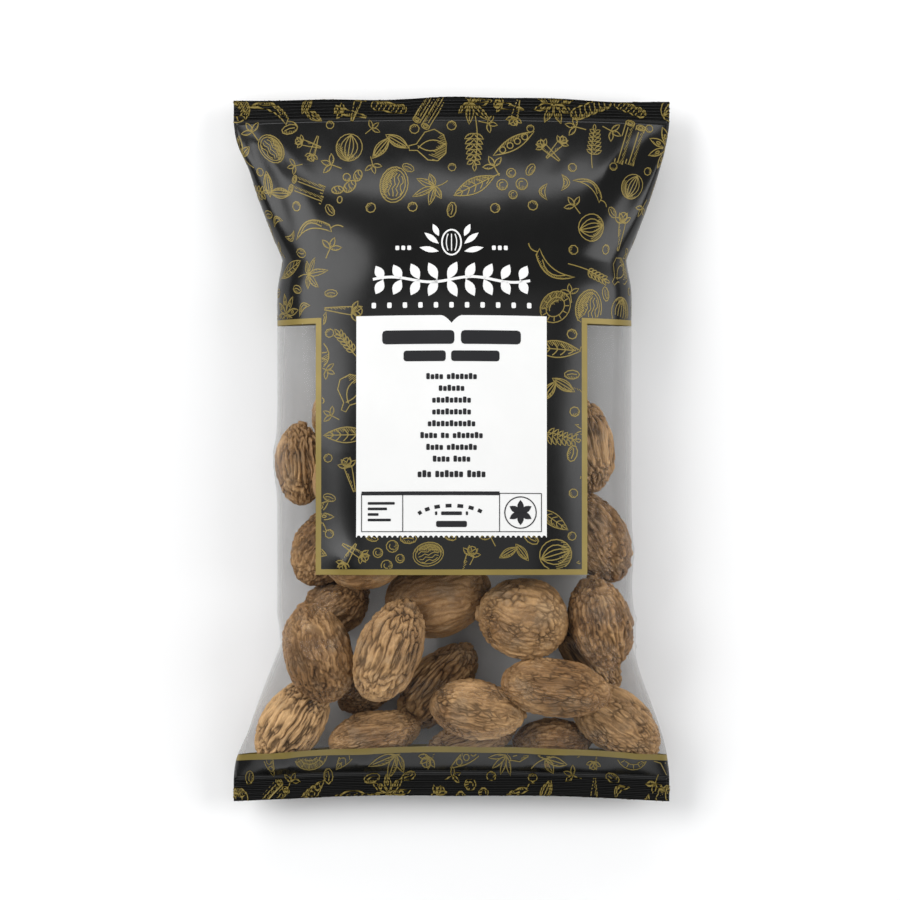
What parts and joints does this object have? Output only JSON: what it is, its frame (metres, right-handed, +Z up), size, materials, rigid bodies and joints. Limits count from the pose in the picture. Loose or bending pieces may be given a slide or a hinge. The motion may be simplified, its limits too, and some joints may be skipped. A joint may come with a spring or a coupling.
{
  "type": "bag of whole nutmegs",
  "caption": "Sealed pillow bag of whole nutmegs, dark printed film with clear windows and a pale label panel, lying on its back.",
  "frame": {"origin": "centre of the bag's box on the surface it lies on", "axes": "+Y along the bag towards its top seal, +Z up out of the shown face, +X across the bag to the right of the shown face"},
  "size_m": [0.115, 0.186, 0.0386],
  "materials": {
    "printed_film": "gloss",
    "clear_film": "gloss",
    "backing_film": "satin",
    "gold_print": "satin",
    "label_print": "satin",
    "label_ink": "satin",
    "nutmeg": "matte"
  },
  "bodies": {
    "root": {"nutmeg_bag": "printed_film"}
  },
  "joints": []
}
